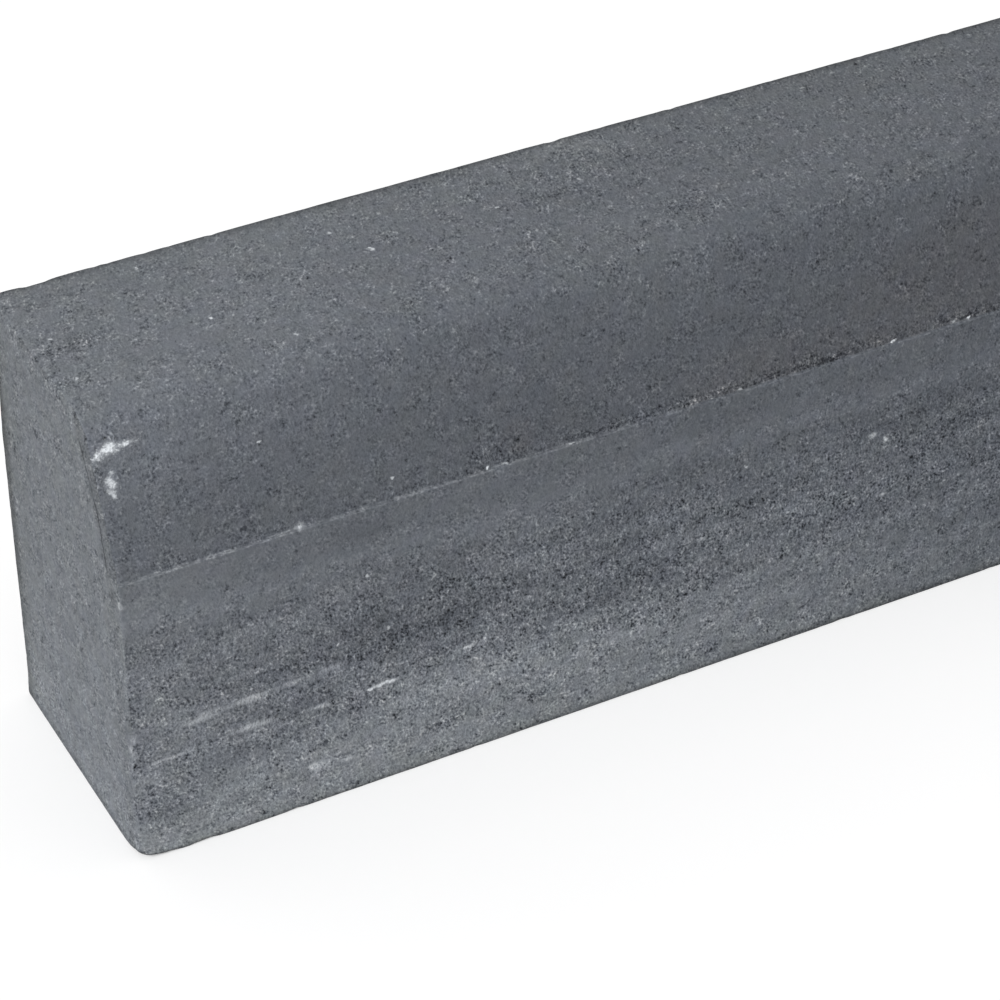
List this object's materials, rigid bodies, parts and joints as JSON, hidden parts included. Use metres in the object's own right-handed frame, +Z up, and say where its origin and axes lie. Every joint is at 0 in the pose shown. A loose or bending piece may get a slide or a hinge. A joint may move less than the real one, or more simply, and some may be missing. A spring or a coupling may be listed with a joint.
{
  "type": "concrete kerb stone",
  "caption": "Straight precast concrete kerb stone with an upright lower face, a small ledge, a battered upper face and a rounded crown.",
  "frame": {"origin": "middle of the underside, on the ground line, halfway along the length", "axes": "+X along the kerb's length, -Y out of the battered road face, +Y out of the plain back face, +Z up"},
  "size_m": [1, 0.15, 0.25],
  "materials": {
    "concrete": "matte fair-faced concrete, dark blue-grey"
  },
  "bodies": {
    "root": {"kerb_stone": "concrete"}
  },
  "joints": []
}
